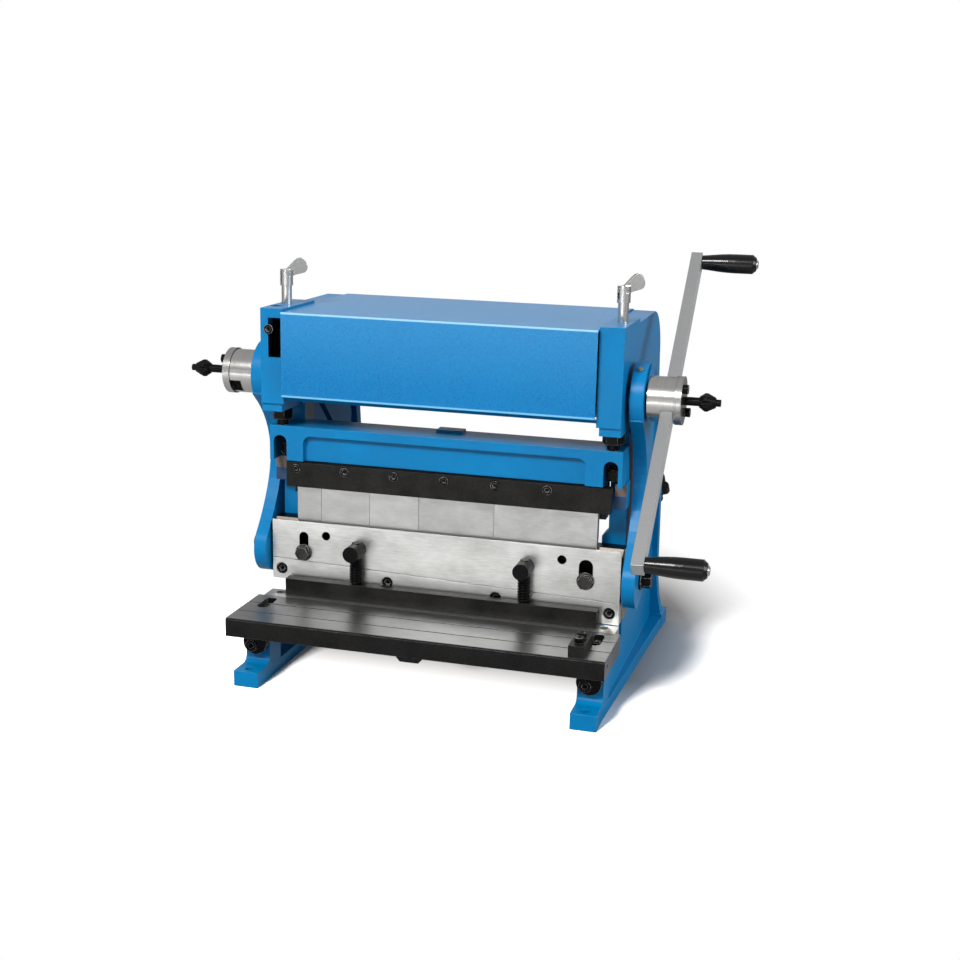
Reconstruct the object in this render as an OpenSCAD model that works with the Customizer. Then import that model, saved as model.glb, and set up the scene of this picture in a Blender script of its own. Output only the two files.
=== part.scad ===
// Bench sheet-metal machine, 305 mm: shear at the bottom, finger brake in the middle, slip roll on top.
// Lengths are millimetres. Y is measured from the front face of the fingers, and stand() moves the
// origin to the bench plane, midway between the four foot bolts. X is left to right, Z is up.

/* [Side frames] */
// Distance between the inner faces of the two frames
frame_gap = 305.6; // [290:0.1:330]
// Width of the front foot and of the frame post
post_w = 24.7; // [20:0.1:26]
// Thickness of the frame's plain web
web_t = 10; // [6:0.5:14]
// Front of the foot, in front of the fingers
foot_front = 101.8; // [95:0.1:115]
// Front of the post under the table, in front of the fingers
post_front = 72; // [66:0.5:80]
// Height of the front foot pad
pad_h = 15.5; // [12:0.5:20]
// Thickness of the base flange
base_h = 12; // [8:0.5:15]
// Distance between front and rear foot bolts
foot_pitch = 312; // [300:1:330]
// Distance from a frame's inner face to its foot bolts
foot_hole_in = 12.2; // [10:0.1:14]
// Radius of the foot bolt holes
foot_hole_r = 4.5; // [3:0.25:6]
// Widening of the base flange towards the rear
base_flare = 12.7; // [4:0.1:16]
// Front face of the guide column, behind the fingers
guide_y = 22.3; // [22:0.1:26]
// Depth of the guide column
guide_depth = 22; // [16:0.5:24]
// Height of the roll housings above the middle of the upper roll
housing_over = 30; // [26:0.5:36]
// Front of the roll housings, in front of the fingers
housing_front = 32; // [28:0.5:38]
// Rear edge of the frame at its foot
rear_y = 214; // [206:1:222]
// Radius of the frame's top rear corner
corner_r = 50; // [30:1:60]

/* [Table and shear] */
// Overhang of the table beyond the frame posts
table_overhang = 6; // [2:0.5:12]
// Front edge of the table, in front of the fingers
table_front = 105.3; // [100:0.5:112]
// Height of the table's top
table_top = 69.1; // [68:0.1:70]
// Thickness of the table
table_t = 18; // [14:0.1:20]
// Width of the scribed grooves in the table
groove_w = 1.6; // [1:0.1:3]
// Setback of the blade and die ends from the outer faces of the frame posts
blade_setback = 0.1; // [0.1:0.1:8]
// Thickness of the upper blade and of the vee die
blade_t = 11.9; // [10:0.1:12]
// Running gap between the two shear blades
blade_gap = 0.3; // [0.1:0.05:0.5]
// Rise of the raked upper blade from right end to left end
rake = 11.6; // [8:0.1:14]
// Height of the upper blade strip
blade_h = 21.2; // [19:0.1:24]
// Cutting edge of the upper blade at its right end, when the crank is at rest
blade_low = 69.7; // [69.5:0.1:72]

/* [Brake] */
// Front face of the vee die, in front of the fingers
die_front = 5.6; // [5:0.1:7]
// Top of the vee die at rest
die_top = 142.3; // [141:0.1:143]
// Depth of the vee groove
vee_depth = 9; // [7:0.5:10]
// Thickness of the fingers
finger_t = 8; // [6:0.5:9]
// Depth of the finger tips below the die's top at rest
finger_dip = 3.7; // [2:0.1:4]
// Underside of the brake beam
beam_low = 205.5; // [204:0.5:208]
// Top of the brake beam
beam_top = 240.1; // [238:0.1:244]
// Front of the brake beam, in front of the fingers
beam_front = 13.4; // [13:0.1:16]
// Thickness of the clamp bar
clamp_t = 12; // [8:0.5:12.5]
// Height of the clamp bar
clamp_h = 24.5; // [22:0.5:26]
// Height of the hold-down bar
hold_h = 16.3; // [12:0.1:18]
// Depth of the hold-down bar
hold_t = 11.5; // [8:0.5:12]
// Radius of the hold-down rods
hold_rod_r = 4; // [3:0.25:5]
// Radius of the hold-down pins
hold_pin_r = 8; // [6.5:0.25:9]

/* [Crank and rolls] */
// Crank axis, behind the fingers
crank_y = 9.5; // [8:0.5:11]
// Crank axis, above the bench
crank_z = 288; // [286:0.5:290]
// Radius of the rolls
roll_r = 19; // [15:0.5:19]
// Rest gap between the lower and the upper roll
roll_gap = 1; // [0.5:0.1:2]
// Radius of the crank journals
journal_r = 12; // [10:0.5:13]
// Radius of the crank's ends, in the eccentrics and hubs
stub_r = 8; // [7:0.25:9]
// Throw of the eccentrics
throw = 13; // [12:0.1:14]
// Angle of the eccentrics above the horizontal, at rest
throw_angle = 20.7; // [18:0.1:24]
// Clearance between an eccentric and its link arm
strap_gap = 1.7; // [1.6:0.1:2]
// Distance between the frame posts' outer faces and the link arms
arm_gap = 2.7; // [2.6:0.1:6]
// Thickness of the link arms
arm_t = 12.5; // [10:0.5:14]
// Radius of the link arm's big end
arm_big_r = 32.5; // [30:0.5:36]
// Radius of the link arm's small end
arm_small_r = 26; // [20:0.5:28]
// Height of the link bolts at rest
link_z = 111.3; // [108:0.1:118]
// Radius of the end hubs
hub_r = 21.5; // [19:0.5:24]
// Length of the end hubs
hub_l = 24.5; // [20:0.5:30]
// Thickness of the hub caps
cap_t = 7; // [5:0.5:9]
// Lip of the hub caps round the hubs
cap_lip = 1.1; // [0:0.1:2]

/* [Handle] */
// Length of the handle bar
bar_l = 377; // [340:1:400]
// Width of the handle bar, along the crank axis
bar_w = 11; // [8:0.5:11]
// Depth of the handle bar
bar_t = 14.5; // [12:0.5:18]
// Slope of the handle bar at rest
bar_angle = 39.5; // [20:0.5:60]
// Length of a handle grip
grip_l = 53; // [40:1:70]
// Largest radius of a handle grip
grip_r = 9.4; // [7:0.1:11]

/* [Screws and knobs] */
// Clearance around fixed screws
fit = 0.05; // [0.02:0.01:0.1]
// Height of the wing screw's stem above the housing
wing_stem = 18; // [14:0.5:26]
// Length of the wing lever
wing_l = 22.6; // [20:0.2:36]
// Radius of the rear star knobs
star_r = 17; // [13:0.5:20]
// Slope of the rear adjusting screws
rear_slope = 40; // [36:0.5:42]

/* [Hidden] */
$fn = 48;

paint = "#0a7fc8";
ground = "silver";
black = "#1c1d1f";
eps = 0.01;
slide_gap = 0.3;                       // between faces of different bodies

// frames
frame_in = frame_gap / 2;
post_out = frame_in + post_w;
housing_out = post_out - 1.7;
arm_in = post_out + arm_gap;
foot_span = frame_gap + 2 * foot_hole_in;
post_mid = foot_span / 2;
front_hole_y = -foot_front + 9.8;
rear_hole_y = front_hole_y + foot_pitch;
bolt_mid_y = (front_hole_y + rear_hole_y) / 2;
rear_pad_y = rear_hole_y + 9;
web_in = housing_out - web_t;
upper_z = crank_z + 2 * roll_r + roll_gap;
housing_top = upper_z + housing_over;
frame_top = housing_top - 4;
top_corner_y = rear_y - 27;
cheek_rear = top_corner_y - 34;
housing_low = beam_top + 17;
cheek_low = housing_low - 53;
foot_round = 8;
ledge_in = frame_in + 13.6;
ledge_y = 5.5;
ledge_h = 24.5;
recess_d = 6.2;                        // sheet room cut into the columns, above the ram
recess_low = 149;
table_under = table_top - table_t;

// table
table_half = post_out + table_overhang;
blade_half = post_out - blade_setback;
groove_ys = [-79.1, -52.2];
groove_d = 1.2;
table_rear = -die_front - blade_gap;
lower_blade_w = 22;
lower_blade_t = 12;
lower_blade_extra = 0.6;
blade_screw_in = 8.7;                  // lower blade screws, in front of the cutting edge
slot_y = -49.5;
slot_run = 19;
slot_r = 5.8;
slot_under_r = 3.6;
table_screw_y = slot_y + 6;
end_hole_y = -93;
end_hole_z = table_top - 8;
end_hole_r = 2.2;
end_hole_l = 8;
cam_r = 12;
cam_t = 8;
cam_z = table_under - cam_r - 1.2;
cam_shift = 3.3;                       // cam screw, beside and below the cam's middle
cam_screw_z = cam_z - cam_shift;
stop_x = table_half - 27.1;
stop_w = 15;
stop_l = 38;
stop_h = 10.8;
stop_front = 102;

// ram, die and blade
ram_front = blade_t - die_front + fit;
ram_back = guide_y - slide_gap;
ram_half = arm_in - 0.6;
ram_low = blade_low + 3;
rib_half = frame_in - 2.8;
rib_back = guide_y + guide_depth + slide_gap;
split_right = blade_low + blade_h;
line_gap = 0.6;
vee_half = 5.2;
vee_y = vee_half - die_front + 0.8;
die_slot_x = blade_half - 33.6;
die_slot_left_r = 4.8;
die_slot_right_r = 6.8;
die_bolt_z = 110.6;
die_slot_top = 131.6;
die_hole_x = die_slot_x - 23.6;
die_hole_z = 129.4;
die_hole_r = 4.4;
blade_screw_end = 9.7;                 // from the blade's end to its outer screws
blade_screw_xs = [for (x = [-1, -0.331, 0.331, 1]) x * (blade_half - blade_screw_end)];
blade_screw_drop = 10.6;               // screw axis below the blade's upper edge
hold_x = blade_half - 91.8;
hold_low = table_top + slide_gap;
hold_half = blade_half - 19.2;
hold_front = 19.5;
hold_rod_y = -hold_front + hold_t / 2;
hold_pin_z = 119.9;
hold_pin_front = 29.4;
hold_rod_top = hold_pin_z + hold_pin_r + 0.4;
link_y = (ram_front + ram_back) / 2;
gib_t = 6;

// brake
finger_unit = (frame_gap - 0.8) / 12;
finger_seams = [for (n = [-6, -5, -3, -1, 2, 6]) n * finger_unit];
seam_gap = 0.12;
finger_tip = die_top - finger_dip;
tongue_low = 169;
tongue_half = frame_in + 5.6;
clamp_low = beam_low - 1.6 - clamp_h;
clamp_left = -frame_in - 5.8;
clamp_right = frame_in + 12.8;
clamp_screw_x0 = 3.4 - 6 * finger_unit;
clamp_screw_pitch = 2 * finger_unit;
clamp_screw_z = clamp_low + 18.5;
beam_half = housing_out;
notch_x = frame_in + 12.2;
notch_r = 6.9;
notch_top = 230.4;
panel_half = frame_in - 11.8;
panel_d = 6;
panel_r = 8;
panel_top = beam_top - 9;
beam_bolt_z = 214;
jack_y = -6;
jack_hex_h = 10.5;

// crank and rolls
roll_half = frame_in - 1.8;
gear_t = 12;
gear_gap = 0.6;
barrel_end = roll_half - gear_t - gear_gap;
bush_r = journal_r + 3;
running = 0.05;
arm_out = arm_in + arm_t;
ecc_y = crank_y + throw * cos(throw_angle);
ecc_z = crank_z + throw * sin(throw_angle);
ecc_r = throw + stub_r + 1.5;
big_r = ecc_r + strap_gap;
big_y = ecc_y - 0.45;
cover_t = 1.5;
hub_start = arm_out + slide_gap + cover_t;
hub_end = hub_start + hub_l;
hub_slot_w = bar_w + 0.6;
hub_slot_t = bar_t + 0.6;
shaft_end = hub_end - hub_slot_w - 0.4;
cap_end = hub_end + cap_t;
pocket_low = upper_z - roll_r;
pocket_high = upper_z + 22;
pocket_half = 15.2;
pocket_deep = frame_in + 19.2;
block_in = frame_in + 0.2;
block_out = pocket_deep - 0.5;
block_half = 15;                       // half height of the upper roll's blocks
rear_block_w = 2 * block_half - 0.4;
rear_block_l = 28;
small_journal_r = journal_r - 1;
keeper_l = 33;
keeper_x = frame_in + 13;
keeper_z = upper_z + 10.5;
rear_y0 = 66;
rear_z0 = crank_z + 5;
rear_screw_x = frame_in + 16.2;
rear_screw_r = 4.5;
rear_knob_run = 222;
gear_teeth = 16;
gear_pitch_r = roll_r + roll_gap / 2;
gear_add = 1.6;
gear_ded = 2.4;

// handle and knobs
bar_x = hub_end - hub_slot_w / 2;
bar_drop = 1.6;                        // bar's middle, below the crank axis
grip_s = bar_l / 2 - 6.3;
spindle_r = 4;
knob_screw_r = 4;
knob_hole_r = knob_screw_r + 0.3;
knob_tip = bar_x + 1;
right_knob_x = hub_end + cap_t + 14.2;
left_knob_x = hub_end + cap_t + 22.9;
knob_l = 15;
knob_r = 8.5;
knob_nose_r = 3.3;

// roll guard
guard_t = 1.6;
guard_half = frame_in - slide_gap;
guard_front = -housing_front - 6;
guard_low = 273.9;
guard_top = frame_top + 1.6;
guard_rear = top_corner_y - 4;
guard_r = corner_r - 4;
guard_rear_low = 292;
lip_y = guard_front + 10.5;
lip_z = guard_low - 5.6;

// link arms
face_y = crank_y + 4;
foot_y = link_y - 6;
bow_front = 26;
bow_w = 29;
bow_z = (crank_z + link_z) / 2 + 3;
nipple_a = 121;
bolt_r = 5;

// wing screws
wing_x = frame_in + 13.2;
wing_screw_r = 5;
fork_h = 15.5;
fork_r = 6.2;
wing_t = 3.4;
wing_z0 = housing_top + wing_stem;
wing_pin_z = wing_z0 + fork_h - 5;
wing_pin_r = 1.6;
wing_rise = 28;
wing_turn = 40;

// ---------------------------------------------------------------- helpers
module stand() { translate([0, -bolt_mid_y, 0]) children(); }
module both() { children(); mirror([1, 0, 0]) children(); }
module yz(x0, x1) { translate([x0, 0, 0]) rotate([90, 0, 90]) linear_extrude(x1 - x0) children(); }
module xz(y0, y1) { translate([0, y1, 0]) rotate([90, 0, 0]) linear_extrude(y1 - y0) children(); }
module box(x0, x1, y0, y1, z0, z1) { translate([x0, y0, z0]) cube([x1 - x0, y1 - y0, z1 - z0]); }
module rod_x(x0, x1, y, z, r) { translate([x0, y, z]) rotate([0, 90, 0]) cylinder(h = x1 - x0, r = r); }
module rod_y(x, y0, y1, z, r) { translate([x, y1, z]) rotate([90, 0, 0]) cylinder(h = y1 - y0, r = r); }
module rod_z(x, y, z0, z1, r) { translate([x, y, z0]) cylinder(h = z1 - z0, r = r); }
module to_front(x, y, z) { translate([x, y, z]) rotate([90, 0, 0]) children(); }
module to_right(x, y, z) { translate([x, y, z]) rotate([0, 90, 0]) children(); }

// Socket head screw: the head stands on z = 0 and the shank runs down from it.
module socket_screw(head_r, head_h, shank_r, shank_l) {
    difference() {
        cylinder(h = head_h, r = head_r);
        translate([0, 0, head_h * 0.4]) cylinder(h = head_h, r = head_r * 0.55, $fn = 6);
    }
    translate([0, 0, -shank_l]) cylinder(h = shank_l, r = shank_r);
}

// Hexagon head bolt with a washer below the head. The washer lies on z = 0.
module hex_bolt(corner_r, head_h, washer_r, washer_t, shank_r, shank_l) {
    cylinder(h = washer_t, r = washer_r);
    translate([0, 0, washer_t]) intersection() {
        cylinder(h = head_h, r = corner_r, $fn = 6);
        cylinder(h = head_h, r1 = corner_r + 1.6 * head_h, r2 = corner_r * 0.86);
    }
    translate([0, 0, -shank_l]) cylinder(h = shank_l, r = shank_r);
}

// Points of a quadratic curve from a to c, drawn towards b.
function bend(a, b, c) = [for (t = [0 : 0.125 : 1]) a * (1 - t) * (1 - t) + 2 * b * t * (1 - t)
    + c * t * t];

// Star knob: a hub with lobes around it, standing on z = 0.
module star(r, h, lobes) {
    lobe_r = r * 0.3;
    cylinder(h = h, r = r * 0.72);
    for (i = [0 : lobes - 1])
        rotate([0, 0, i * 360 / lobes]) translate([r - lobe_r, 0, 0]) cylinder(h = h, r = lobe_r);
}

// Fluted head with tapered ends, standing on z = 0.
module fluted_head(r, h, ribs) {
    step = 360 / ribs;
    intersection() {
        linear_extrude(h) polygon([for (i = [0 : ribs - 1])
            for (p = [[-0.17, r], [0.17, r], [0.36, r * 0.74], [0.64, r * 0.74]])
                [p[1] * cos((i + p[0]) * step), p[1] * sin((i + p[0]) * step)]]);
        rotate_extrude() polygon([[0, 0], [0.6 * r, 0], [r + 0.1, 0.34 * h], [r + 0.1, 0.48 * h],
            [0.56 * r, h], [0, h]]);
    }
}

// ---------------------------------------------------------------- side frames
module web_outline() {
    polygon([[-post_front, 0], [rear_y, 0], [rear_y - 2, 60], [rear_y - 10, cheek_low - 14],
        [top_corner_y, frame_top - corner_r], [top_corner_y - corner_r, frame_top - corner_r],
        [top_corner_y - corner_r, frame_top], [guide_y + guide_depth, frame_top],
        [guide_y + guide_depth, housing_low], [guide_y, housing_low], [guide_y, table_under],
        [-post_front, table_under]]);
    translate([top_corner_y - corner_r, frame_top - corner_r]) circle(r = corner_r);
}

module top_rim_outline() {
    rim = 6;
    difference() {
        intersection() {
            web_outline();
            translate([guide_y + guide_depth, crank_z]) square([rear_y, housing_top]);
        }
        translate([0, 0]) square([top_corner_y - corner_r, frame_top - rim]);
        translate([0, 0]) square([top_corner_y - rim, frame_top - corner_r]);
        translate([top_corner_y - corner_r, frame_top - corner_r]) circle(r = corner_r - rim);
    }
}

module cheek_outline() {
    polygon([[-housing_front + 2, housing_low], [-housing_front + 2, housing_low + 8],
        [-housing_front, housing_low + 8], [-housing_front, housing_top], [48, housing_top],
        [48, frame_top], [cheek_rear - 10, frame_top], [cheek_rear, frame_top - 10],
        [cheek_rear, crank_z - 30], [cheek_rear - 5, cheek_low + 31], [cheek_rear, cheek_low + 19],
        [cheek_rear - 4, cheek_low + 8], [cheek_rear - 14, cheek_low], [guide_y + 8, cheek_low],
        [guide_y + 8, housing_low]]);
}

// Places its children at distance t down the rear adjusting screw, with +Z along the screw.
module down_rear_screw(x, t) {
    translate([x, rear_y0 + t * cos(rear_slope), rear_z0 - t * sin(rear_slope)])
        rotate([-90 - rear_slope, 0, 0]) children();
}

module rear_slot_outline(across, along) {
    translate([rear_y0, rear_z0]) rotate(-rear_slope) square([along, across], center = true);
}

module frame_casting(left) {
    difference() {
        union() {
            yz(web_in, housing_out) web_outline();
            yz(frame_in, web_in + 1) top_rim_outline();
            yz(frame_in, housing_out) cheek_outline();
            box(frame_in, housing_out, guide_y, guide_y + guide_depth, 0, housing_low + 1);
            box(frame_in, post_out, -post_front, -post_front + 26, 0, table_under);
            box(frame_in, post_out, -post_front, guide_y + 1, table_under - 12, table_under);
            box(frame_in, post_out, -foot_front, -post_front + 1, 0, pad_h);
            yz(frame_in, post_out) difference() {
                translate([-post_front - foot_round, pad_h]) square([foot_round + 1, foot_round]);
                translate([-post_front - foot_round, pad_h + foot_round]) circle(r = foot_round);
            }
            linear_extrude(base_h) polygon([[frame_in, -post_front], [post_out, -post_front],
                [post_out + base_flare, rear_y], [frame_in, rear_y]]);
            linear_extrude(pad_h) polygon([[frame_in, rear_y - 14], [post_out + base_flare,
                rear_y - 14],
                [post_out + base_flare + 1, rear_pad_y], [frame_in, rear_pad_y]]);
            intersection() {
                yz(web_in - 6, post_out + base_flare) polygon([[rear_y - 12, base_h], [rear_y, base_h],
                    [rear_y - 2, 60], [rear_y - 10, cheek_low - 14], [rear_y - 18, cheek_low + 40],
                    [rear_y - 30, cheek_low + 40], [rear_y - 22, cheek_low - 14], [rear_y - 14, 60]]);
                xz(rear_y - 40, rear_y + 1) polygon([[web_in - 7, 0], [post_out + base_flare, 0],
                    [post_out + base_flare - 1, base_h], [post_out + 7, 36], [post_out + 4.8, 60],
                    [post_out + 4.5, housing_low], [web_in - 7, housing_low]]);
            }
            box(ledge_in, post_out, ledge_y, guide_y + 1, beam_low - ledge_h, beam_low);
            intersection() {
                down_rear_screw(rear_screw_x, 20) cylinder(h = rear_knob_run, r = rear_screw_r + 2.3);
                yz(frame_in, housing_out) web_outline();
            }
        }
        for (y = [front_hole_y, rear_hole_y]) rod_z(post_mid, y, -1, pad_h + 1, foot_hole_r);
        rod_x(frame_in - 1, housing_out + 1, crank_y, crank_z, bush_r);
        box(frame_in - 1, pocket_deep, crank_y - pocket_half, crank_y + pocket_half, pocket_low,
            pocket_high);
        rod_z(wing_x, crank_y, pocket_high - 1, housing_top + 1, wing_screw_r + running);
        yz(frame_in - 1, pocket_deep) rear_slot_outline(rear_block_w + 0.4, rear_block_l + 16);
        down_rear_screw(rear_screw_x, 13) cylinder(h = rear_knob_run, r = rear_screw_r + running);
        xz(guide_y - 1, guide_y + guide_depth + 1) polygon([[frame_in - 1, recess_low - 1],
            [frame_in, recess_low], [frame_in + recess_d, recess_low + recess_d],
            [frame_in + recess_d, cheek_low - 0.5], [frame_in - 1, cheek_low - 0.5]]);
        yz(frame_in - 1, frame_in + 7) translate([78, 238]) rotate(-rear_slope - 3)
            square([70, 8.2], center = true);
        rod_z(notch_x, jack_y, housing_low - 1, housing_low + 22, bolt_r + fit);
        rod_y(notch_x, guide_y - 1, guide_y + 18, beam_bolt_z, bolt_r + fit);
        rod_y(cam_screw_x(left), -post_front - 1, -post_front + 18, cam_screw_z, 3 + fit);
        rod_z(post_mid, table_screw_y, table_under - 11, table_under + 1, 3 + fit);
        box(frame_in - 1, frame_in + 2.6, -housing_front - 1, guide_y - 6, housing_low - 1,
            housing_low + 8);
        if (left) {
            box(frame_in - 1, frame_in + 15.2, -housing_front - 1, crank_y, pocket_low + 2,
                pocket_low + 40);
            rod_z(housing_out - 7, -10, housing_top - 10, housing_top + 1, 6);
            rod_y(keeper_x, -housing_front - 1, crank_y - block_half, keeper_z, 2.5 + fit);
        }
    }
}

// The cams turn the same way on both sides, so their screws are not a mirrored pair.
function cam_screw_x(left) = post_mid + (left ? cam_shift : -cam_shift);

module left_frame() { color(paint) stand() mirror([1, 0, 0]) frame_casting(true); }
module right_frame() { color(paint) stand() frame_casting(false); }

module shaft_bushings() {
    color("goldenrod") stand() both() difference() {
        rod_x(frame_in, housing_out, crank_y, crank_z, bush_r - fit);
        rod_x(frame_in - 1, housing_out + 1, crank_y, crank_z, journal_r + running);
    }
}

// ---------------------------------------------------------------- table
module table_slot(r) {
    for (y = [slot_y - slot_run / 2, slot_y + slot_run / 2])
        rod_z(post_mid, y, table_under - 6, table_top + 1, r);
    box(post_mid - r, post_mid + r, slot_y - slot_run / 2, slot_y + slot_run / 2, table_under - 6,
        table_top + 1);
}

module table() {
    lip = 5.3;
    color("dimgray") stand() difference() {
        union() {
            yz(-table_half, table_half) polygon([[-table_front, table_under], [-table_front,
                table_top - 1.4],
                [-table_front + 1.4, table_top], [table_rear - lower_blade_w, table_top],
                [table_rear - lower_blade_w, table_under], [-table_front + 14, table_under]]);
            box(-blade_half, blade_half, table_rear - lower_blade_w - 1, table_rear,
                table_under, table_top - lower_blade_t);
            xz(-table_front + 2, table_rear - lower_blade_w - 6) polygon([[-12.7, table_under + 1],
                [-12.7, table_under - 1.2], [-8.9, table_under - lip], [8.9, table_under - lip],
                [12.7, table_under - 1.2], [12.7, table_under + 1]]);
        }
        for (y = groove_ys) box(-table_half - 1, table_half + 1, y - groove_w / 2, y + groove_w / 2,
            table_top - groove_d, table_top + 1);
        both() intersection() {
            table_slot(slot_r);
            box(0, table_half + 1, -table_front, 0, table_top - 9, table_top + 1);
        }
        both() table_slot(slot_under_r);
        both() rod_z(post_mid, table_rear - blade_screw_in, table_under - 1, table_top - 4, 2.5 + fit);
        for (y = [-stop_front + 12, -stop_front + 26]) rod_z(stop_x, y, table_top - 12,
            table_top + 1, 2.5 + fit);
        both() rod_x(table_half - end_hole_l, table_half + 1, end_hole_y, end_hole_z, end_hole_r);
    }
}

module lower_blade() {
    blade_end = blade_half + lower_blade_extra;
    color(ground) stand() difference() {
        box(-blade_end, blade_end, table_rear - lower_blade_w, table_rear,
            table_top - lower_blade_t, table_top);
        both() {
            rod_z(post_mid, table_rear - blade_screw_in, table_top - 6, table_top + 1, 4.6);
            rod_z(post_mid, table_rear - blade_screw_in, table_top - lower_blade_t - 1, table_top,
                2.5 + fit);
        }
    }
}

module lower_blade_screws() {
    color(black) stand() both()
        translate([post_mid, table_rear - blade_screw_in, table_top - 6]) socket_screw(4.3, 3.6,
            2.5, 9.8);
}

module table_screws() {
    color(black) stand() both() translate([post_mid, table_screw_y, table_top - 9]) socket_screw(5,
        5, 3, table_t);
}

module table_cams() {
    color(black) stand() for (side = [-1, 1]) {
        x = side * cam_screw_x(side < 0);
        difference() {
            rod_y(side * post_mid, -post_front - cam_t, -post_front, cam_z, cam_r);
            rod_y(x, -post_front - cam_t - 1, -post_front + 1, cam_screw_z, 3 + fit);
            rod_y(x, -post_front - cam_t - 1, -post_front - cam_t + 3, cam_screw_z, 6);
        }
    }
}

module cam_screws() {
    color(black) stand() for (side = [-1, 1])
        to_front(side * cam_screw_x(side < 0), -post_front - cam_t + 3, cam_screw_z)
            socket_screw(5.6, 5, 3, 20);
}

module side_stop() {
    color(black) stand() difference() {
        box(stop_x - stop_w / 2, stop_x + stop_w / 2, -stop_front, -stop_front + stop_l, table_top,
            table_top + stop_h);
        for (y = [-stop_front + 12, -stop_front + 26]) rod_z(stop_x, y, table_top - 1,
            table_top + stop_h + 1, 2.5 + fit);
    }
}

module side_stop_screws() {
    color(black) stand() for (y = [-stop_front + 12, -stop_front + 26])
        translate([stop_x, y, table_top + stop_h]) socket_screw(4.4, 5, 2.5, stop_h + 10);
}

// ---------------------------------------------------------------- ram, vee die and upper blade
module raked(low_right, high_right, half) {
    slope = rake / (2 * blade_half);
    polygon([[-half, low_right + slope * 2 * half], [half, low_right], [half, high_right],
        [-half, high_right + slope * 2 * half]]);
}
function split_z(x) = split_right + rake * (blade_half - x) / (2 * blade_half);

module ram() {
    color(ground) stand() difference() {
        union() {
            xz(ram_front, ram_back) intersection() {
                raked(ram_low, die_top + 5, ram_half);
                translate([-ram_half, 0]) square([2 * ram_half, die_top - 0.3]);
            }
            box(-rib_half, rib_half, ram_back - 1, rib_back, link_z - 16, link_z + 14);
            both() rod_x(ram_half - 1, arm_in, link_y, link_z, 12);
        }
        both() rod_x(ram_half - 24, arm_in + 1, link_y, link_z, bolt_r + fit);
        both() rod_y(die_slot_x, ram_front - 1, ram_front + 13, die_bolt_z, 4 + fit);
        both() rod_y(hold_x, ram_front - 1, ram_front + 11, hold_pin_z, bolt_r + fit);
        both() rod_y(die_hole_x, ram_front - 1, ram_front + 8, die_hole_z, die_hole_r - 1);
        for (x = blade_screw_xs) rod_y(x, ram_front - 1, ram_front + 12, split_z(x)
            - blade_screw_drop, 3 + fit);
    }
}

module ram_gibs() {
    color(ground) stand() both() {
        box(frame_in - 18, web_in - 3, rib_back, rib_back + gib_t, link_z - 13, link_z + 11);
        for (dz = [-7, 7]) to_front(frame_in - 10, rib_back + gib_t, link_z - 1 + dz)
            mirror([0, 0, 1]) cylinder(h = 4, r = 5, $fn = 6);
    }
}

module die_slot(x, r) {
    for (z = [die_bolt_z, die_slot_top - r]) rod_y(x, -die_front - 1, ram_front, z, r);
    box(x - r, x + r, -die_front - 1, ram_front, die_bolt_z, die_slot_top - r);
}

module v_die() {
    color(ground) stand() difference() {
        xz(-die_front, -die_front + blade_t) polygon([[-blade_half, split_z(-blade_half) + line_gap],
            [blade_half, split_z(blade_half) + line_gap], [blade_half, die_top], [-blade_half,
                die_top]]);
        yz(-blade_half - 1, blade_half + 1) polygon([[vee_y - vee_half, die_top],
            [vee_y - vee_half, die_top + 1],
            [vee_y + vee_half, die_top + 1], [vee_y + vee_half, die_top], [vee_y,
                die_top - vee_depth]]);
        die_slot(-die_slot_x, die_slot_left_r);
        die_slot(die_slot_x, die_slot_right_r);
        both() {
            rod_y(hold_x, -die_front - 1, ram_front, hold_pin_z, bolt_r + fit);
            rod_y(die_hole_x, -die_front - 1, ram_front, die_hole_z, die_hole_r);
        }
    }
}

module die_bolts() {
    color("gray") stand() both()
        to_front(die_slot_x, -die_front, die_bolt_z) hex_bolt(7.3, 5.5, 8.6, 1.6, 4, blade_t + 12);
}

module upper_blade() {
    color(ground) stand() difference() {
        xz(-die_front, -die_front + blade_t) raked(blade_low, split_right, blade_half);
        for (x = blade_screw_xs) {
            rod_y(x, -die_front - 1, ram_front, split_z(x) - blade_screw_drop, 3 + fit);
            rod_y(x, -die_front - 1, -die_front + 6, split_z(x) - blade_screw_drop, 6);
        }
    }
}

module upper_blade_screws() {
    color(black) stand() for (x = blade_screw_xs)
        to_front(x, -die_front + 6, split_z(x) - blade_screw_drop) socket_screw(5.6, 5.4, 3,
            blade_t + 4);
}

// ---------------------------------------------------------------- hold-down
module hold_down_bar() {
    color(black) stand() difference() {
        box(-hold_half, hold_half, -hold_front, -hold_front + hold_t, hold_low, hold_low + hold_h);
        both() rod_z(hold_x, hold_rod_y, hold_low + 6, hold_low + hold_h + 1, hold_rod_r + fit);
    }
}

module hold_down_rods() {
    color(black) stand() both() rod_z(hold_x, hold_rod_y, hold_low + 6, hold_rod_top, hold_rod_r);
}

module hold_down_pins() {
    color(black) stand() both() difference() {
        union() {
            rod_y(hold_x, -hold_pin_front, -die_front, hold_pin_z, hold_pin_r);
            rod_y(hold_x, -die_front, ram_front + 10, hold_pin_z, bolt_r);
        }
        rod_z(hold_x, hold_rod_y, hold_pin_z - hold_pin_r - 1, hold_pin_z + hold_pin_r + 1,
            hold_rod_r + running);
    }
}

// Spring around each rod, drawn as the sleeve that its coils fill.
module hold_down_springs() {
    color(black) stand() both() difference() {
        rod_z(hold_x, hold_rod_y, hold_low + hold_h, hold_pin_z - hold_pin_r + 0.6, hold_rod_r + 2.2);
        rod_z(hold_x, hold_rod_y, hold_low, hold_pin_z, hold_rod_r + 0.6);
        rod_y(hold_x, -hold_pin_front - 1, 0, hold_pin_z, hold_pin_r + fit);
    }
}

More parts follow.
